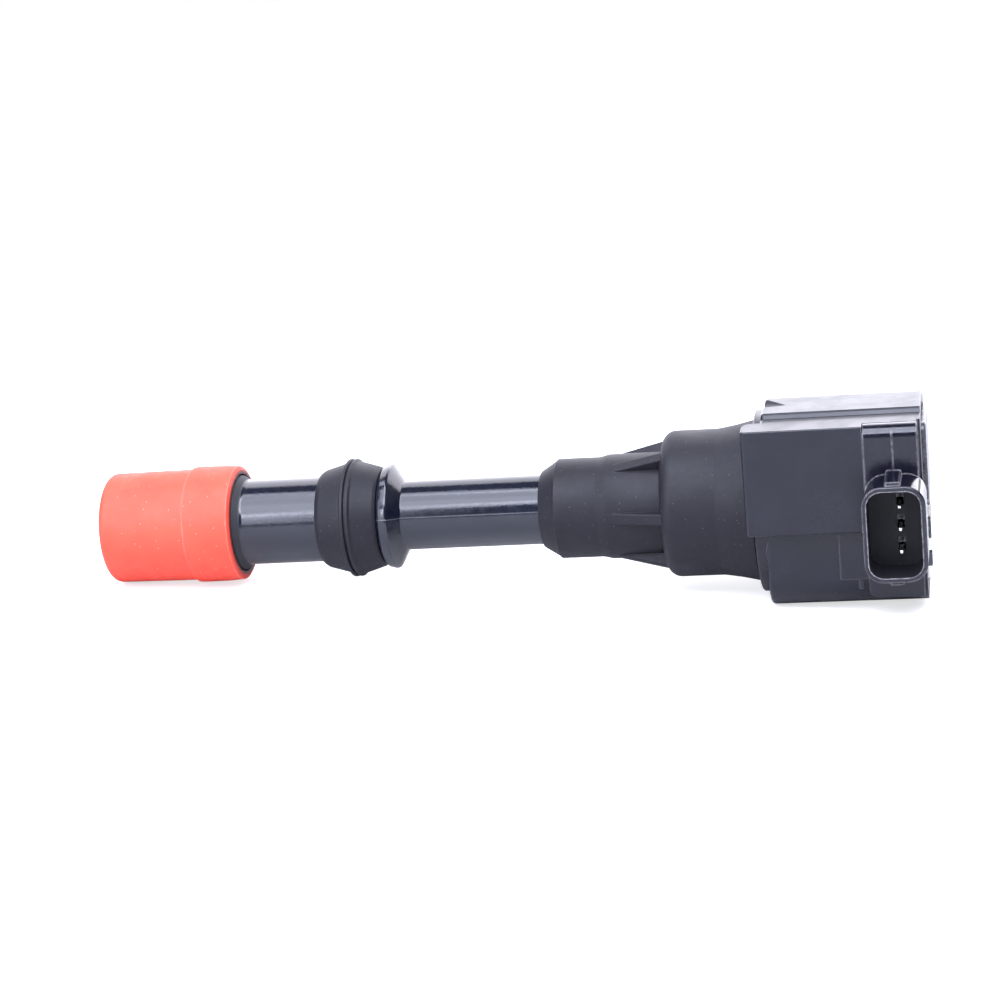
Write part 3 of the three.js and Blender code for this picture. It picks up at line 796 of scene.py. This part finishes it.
def drill(x0, x1, radius, sides, centre=(0, 0)):
    """A round bar along X, to be taken out of a piece."""
    middle = 0.01
    return turned("drill", [
        (x0, middle, 0), (x0, radius, 0), (x1, radius, 0), (x1, middle, 0),
    ], sides=sides, centre=centre)


def case():
    x1 = extent("case")[1].x
    inner = CASE_START + WALL
    cavity = prism(case_outline(WALL), "X", inner, x1 + 1)
    pod_cavity = block((inner, 72.0), (POD_FRONT + WALL, -13.5), (0.2, 16.0), 0)
    tower_bore = drill(35.5, inner + 1, TOWER_BORE, 48)
    bush_hole = drill(LUG["x0"] - 1, LUG["x1"] + 1, BUSH["radius"] + GAP, 64, centre=(LUG["y"], 0))
    plate_gap = 0.06
    across = (PLATE[0] - plate_gap, 85)
    plate_recess = block(across, (POD_FRONT - 1, PLATE_BACK + 0.05), (POD_BOTTOM - 1, 20), 0)
    foot_recess = block(across, (-22.0, -17.8), (-9.7, POD_BOTTOM + 0.1), 0)
    hollow = cone(Vector((59.0, -6.5, CASE_TOP)), Vector((53.2, -4.3, 22.3)), 5.2)
    return cut(case_shell(x1), cavity, pod_cavity, tower_bore, bush_hole, plate_recess, foot_recess,
               hollow, *pin_ways(-20.5, -15.0))


def connector_housing():
    x, mouth, root, bottom = (CONNECTOR[key] for key in ("x", "mouth", "root", "floor"))
    x0, x1 = x - CONNECTOR["width"] / 2, x + CONNECTOR["width"] / 2
    half = CONNECTOR["height"] / 2
    wall = SOCKET_WALL
    plate = prism([
        (root, POD_BOTTOM, 0.2), (PLATE_BACK, POD_BOTTOM), (PLATE_BACK, 18.36), (root, 18.15, 2.5),
    ], "X", *PLATE, 0.2, 0.2)
    foot = block(PLATE, (root, -18.1), (-9.3, POD_BOTTOM + 0.6), 0.16)
    shroud = prism(rectangle(x0, -half, x1, half, 3.6), "Y", mouth, root + 0.4, 0.38, 0)
    draft = 0.55
    for vert in shroud.data.vertices:
        depth = (vert.co.y - mouth) / (root - mouth)
        if vert.co.x < x:
            vert.co.x += draft * max(0.0, min(1.0, depth))
    latch = block((x - 1.35, x + 1.35), (mouth + 0.9, root + 0.4), (half - 0.5, half + 0.75), 0.3)
    keel = block((x - 1.3, x + 1.3), (mouth + 1.0, root + 0.4), (-half - 0.7, -half + 0.5), 0.25)
    rim_line = block((x - 0.09, x + 0.09), (root - 0.05, root + 0.3), (half + 0.5, LEDGE[1] - 0.4), 0.04)
    shell = joined(plate, foot, shroud, latch, keel, rim_line)
    socket = prism(rectangle(x0 + wall, -half + wall, x1 - wall, half - wall, 2.7), "Y", mouth - 1, bottom)
    pockets = []
    for z, _, _ in TERMINALS:
        pocket = rectangle(PIN_X - 0.7, z - 0.65, PIN_X + 0.7, z + 1.9, 0.3)
        pockets.append(prism(pocket, "Y", bottom - 1, bottom + POCKET_DEPTH))
    return cut(shell, socket, *pockets, *pin_ways(bottom - 1, -17.0))


def potting():
    low, high = extent("potting")
    inset = WALL + GAP
    slab = prism(case_outline(inset), "X", low.x, 83.3, 0, 0.3)
    field = prism(rectangle(-9.8, -1.5, 9.0, 15.8, 2.0), "X", 82.8, high.x, 0, 0.45)
    reach = TAB_HALF_WIDTH + GAP
    ways = []
    for pin, tab, step in TERMINALS:
        top = pin if step > low.x - 1 else tab
        ways.append(block((low.x - 1, 84.3), (STRIP[0] - GAP, STRIP[1] + GAP), (tab - reach, top + reach), 0))
    return cut(joined(slab, field), *ways)


def terminal_carrier():
    low, high = extent("terminal_carrier")
    reach = TAB_HALF_WIDTH + GAP
    comb = block((low.x, high.x), (low.y, high.y), (low.z, high.z), 0.25)
    slots = [
        block((low.x - 1, high.x + 1), (low.y - 1, STRIP[1] + GAP), (tab - reach, tab + reach), 0)
        for _, tab, _ in TERMINALS
    ]
    eye = prism(rectangle(84.0, -3.7, 84.8, -2.9, 0.35), "Y", low.y - 1, high.y + 1)
    return cut(comb, *slots, eye)


def terminal(cad_node, pin_z, tab_z, step):
    """A square pin, a flat strip that steps down behind it, and a wider tab at the strip's end."""
    low, high = extent(cad_node)
    half = PIN_SIZE / 2
    tip = rectangle(PIN_X - half, pin_z - half, PIN_X + half, pin_z + half)
    pin = prism(tip, "Y", low.y, STRIP[1], 0.22, 0)
    bars = [
        block((PIN_X - half, step + half), STRIP, (pin_z - half, pin_z + half), 0.08),
        block((step - half, step + half), STRIP, (tab_z - half, pin_z + half), 0.08),
        block((step - half, 83.4), STRIP, (tab_z - half, tab_z + half), 0.08),
        block((82.4, high.x), STRIP, (tab_z - TAB_HALF_WIDTH, tab_z + TAB_HALF_WIDTH), 0.12),
    ]
    return joined(pin, *bars)


def mounting_bush():
    low, high = extent("mounting_bush")
    radius, bore = BUSH["radius"], BUSH["bore"]
    return turned("mounting_bush", [
        (low.x, bore, 0.3), (low.x, radius, 0.3), (high.x, radius, 0.3), (high.x, bore, 0.3),
    ], sides=96, centre=(LUG["y"], 0))


# ---------------------------------------------------------------- contact

def contact_cap():
    low, high = extent("contact_cap")
    middle, neck = 0.02, 3.4
    rim_start = LIP_END + GAP
    return turned("contact_cap", [
        (low.x, middle, 0),
        (low.x, 2.4, 0.5),
        (low.x + 0.9, neck, 0.4),
        (rim_start, neck, 0.1),
        (rim_start, high.z, 0.2),
        (high.x, high.z, 0.2),
        (high.x, middle, 0),
    ], sides=96)


def contact_spring():
    """A coil spring whose end turns lie flat."""
    low, high = extent("contact_spring")
    wire = 0.45
    radius = high.z - wire
    start, end = low.x + wire, high.x - wire
    turns, steps, sides = 9, 36, 12
    flat_turns = 0.75
    rings = []
    count = turns * steps
    for i in range(count + 1):
        turned_by = turns * i / count
        rise = (turned_by - flat_turns) / (turns - 2 * flat_turns)
        x = start + (end - start) * min(1.0, max(0.0, rise))
        angle = math.tau * turned_by
        out = Vector((0, math.cos(angle), math.sin(angle)))
        ring = []
        for k in range(sides):
            around = math.tau * k / sides
            across = out * (radius + wire * math.cos(around))
            ring.append(Vector((x + wire * math.sin(around), 0, 0)) + across)
        rings.append(ring)
    return mesh_object("contact_spring", tube(rings, capped=True))


# ---------------------------------------------------------------- the object

finished(plug_boot(), "plug_boot_moulding", "silicone", "coil", "plug_boot")
finished(stem(), "stem_moulding", "gloss_stem", "coil", "stem")
finished(centring_ring(), "centring_ring_moulding", "matte_rubber", "coil", "centring_ring")
finished(well_seal(), "well_seal_moulding", "matte_rubber", "coil", "well_seal")
finished(case(), "case_moulding", "case_plastic", "coil", "case")
finished(connector_housing(), "connector_moulding", "connector_plastic", "coil", "connector_housing")
finished(potting(), "potting_resin_fill", "potting_resin", "coil", "potting")
finished(terminal_carrier(), "terminal_comb", "carrier_plastic", "coil", "terminal_carrier")
finished(mounting_bush(), "lug_bush", "bush_steel", "coil", "mounting_bush")
for number, places in enumerate(TERMINALS, start=1):
    node_name = f"terminal_{number}"
    finished(terminal(node_name, *places), f"{node_name}_blade", "tinned_contact", "coil", node_name)
finished(contact_cap(), "contact_cap_turning", "brass", "plug_contact", "contact_cap")

spring = finished(contact_spring(), "contact_spring_wire", "spring_steel", "coil", "contact_spring")
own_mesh(spring)

INNER = {
    "contact_rod": "bush_steel",
    "suppression_resistor": "resistor_body",
    "high_voltage_terminal": "brass",
    "centre_core": "core_steel",
    "bias_magnet": "magnet",
    "outer_core": "core_steel",
    "primary_bobbin": "bobbin_plastic",
    "primary_winding": "copper_winding",
    "secondary_bobbin": "bobbin_plastic",
    "secondary_winding_1": "copper_winding",
    "secondary_winding_2": "copper_winding",
    "secondary_winding_3": "copper_winding",
    "high_voltage_diode": "diode_body",
    "igniter_heat_sink": "heat_sink",
    "igniter_module": "diode_body",
}
for node_name, finish in INNER.items():
    cad = frame["nodes"][node_name]
    cad.data.materials.clear()
    cad.data.materials.append(FINISHES[finish])


# ---------------------------------------------------------------- floor and light

def floor():
    """A pale floor that the coil lies on: it touches the case's flange and the far end of the boot. Near the
    coil it glows for the camera only, so its shadows stay faint and it doesn't light the coil from below. Far
    behind the coil it glows as the backdrop does."""
    boot_low, _ = extent("plug_boot")
    case_low, _ = extent("case")
    left = Vector((boot_low.x + 1.2, 0, boot_low.z + 0.5))
    right = Vector((52.5, 0, case_low.z))
    slope = math.atan2(left.z - right.z, right.x - left.x)
    bm = bmesh.new()
    bmesh.ops.create_grid(bm, x_segments=8, y_segments=8, size=2500)
    bm.transform(Matrix.Translation(right) @ Matrix.Rotation(slope, 4, "Y"))
    obj = mesh_object("floor", bm)
    obj.data.transform(Matrix.Translation(ORIGIN) @ Matrix.Scale(MM, 4))
    surface = Surface("floor", roughness=0.9, specular=0.1)
    tone = surface.ramp(surface.noise(60), 0.3, 0.7)
    surface.colour(surface.mix(tone, rgb(0.57, 0.57, 0.58), rgb(0.60, 0.60, 0.61)))
    surface.shader.inputs["Emission Color"].default_value = (1.0, 1.0, 1.0, 1.0)
    reach = surface.vector("LENGTH", surface.place, output="Value")
    seen = surface.node("ShaderNodeLightPath").outputs["Is Camera Ray"]
    for_camera = surface.math("MULTIPLY", seen, surface.ramp(reach, 0.15, 0.5, 0.65, 1.1))
    _, behind, _ = surface.position()
    glow = surface.math("MAXIMUM", for_camera, surface.ramp(behind, 0.15, 0.4, 0.0, 2.2))
    surface.tree.links.new(glow, surface.shader.inputs["Emission Strength"])
    obj.data.materials.append(surface.material)


def panel(name, low, high, brightness, colour, left=-0.8, right=1.0, lean=0.0):
    """A soft light that fills the angles low to high round the coil's axis: 0 is the front, 90 straight up.
    It runs from left to right along X, in metres, and lean turns it in its own plane, in degrees."""
    distance = 0.9
    middle = math.radians((low + high) / 2)
    length = right - left
    height = 2 * distance * math.tan(math.radians((high - low) / 2))
    data = bpy.data.lights.new(name, "AREA")
    data.shape = "RECTANGLE"
    data.size = length
    data.size_y = height
    data.energy = brightness * math.pi * length * height
    data.color = colour
    lamp = bpy.data.objects.new(name, data)
    bpy.context.scene.collection.objects.link(lamp)
    out = Vector((0, -math.cos(middle), math.sin(middle)))
    across = Vector((1, 0, 0))
    turn = Matrix((across, out.cross(across), out)).transposed().to_4x4()
    place = ORIGIN + out * distance + across * (left + right) / 2
    lamp.matrix_world = Matrix.Translation(place) @ turn @ Matrix.Rotation(math.radians(lean), 4, "Z")
    lamp.visible_camera = False


def world():
    """White behind the object; the room that it reflects is dim."""
    made = bpy.data.worlds.new("studio")
    bpy.context.scene.world = made
    made.use_nodes = True
    nodes, links = made.node_tree.nodes, made.node_tree.links
    room = nodes["Background"]
    room.inputs["Color"].default_value = (0.9, 0.92, 1.0, 1.0)
    room.inputs["Strength"].default_value = 0.2
    white = nodes.new("ShaderNodeBackground")
    white.inputs["Color"].default_value = (1.0, 1.0, 1.0, 1.0)
    seen = nodes.new("ShaderNodeLightPath")
    mixed = nodes.new("ShaderNodeMixShader")
    links.new(seen.outputs["Is Camera Ray"], mixed.inputs[0])
    links.new(room.outputs[0], mixed.inputs[1])
    links.new(white.outputs[0], mixed.inputs[2])
    links.new(mixed.outputs[0], nodes["World Output"].inputs["Surface"])


floor()
WHITE = (0.90, 0.90, 1.0)
COOL = (0.80, 0.84, 1.0)
# The glossy stem mirrors these panels as bands along it. Those with limits along X show in the stem only, or
# in the head only.
panel("back_light", 150, 192, 3.3, WHITE)
panel("back_edge_light", 121, 150, 3.1, WHITE)
panel("top_edge_light", 82, 92, 5.3, COOL, left=-0.9, right=0.46, lean=-28)
panel("top_light", 60, 84, 5.2, COOL)
panel("front_light", 40, 60, 6.3, COOL)
panel("front_streak", 32, 41, 8.2, COOL, left=-0.9, right=0.46, lean=22)
panel("left_streak", 21, 32, 7.2, COOL, left=-0.9, right=-0.25)
panel("left_glow", 9, 21, 4.8, COOL, left=-0.9, right=-0.26)
panel("left_light", -10, 60, 2.6, COOL, left=-1.7, right=-0.9)
panel("head_light", 50, 75, 4.2, COOL, left=-0.04, right=0.25)
panel("ledge_light", 138, 156, 4.2, WHITE, left=-0.04, right=0.25)
panel("front_card", -14, 9, 0.72, COOL)
world()

bpy.context.scene.view_settings.view_transform = "Standard"
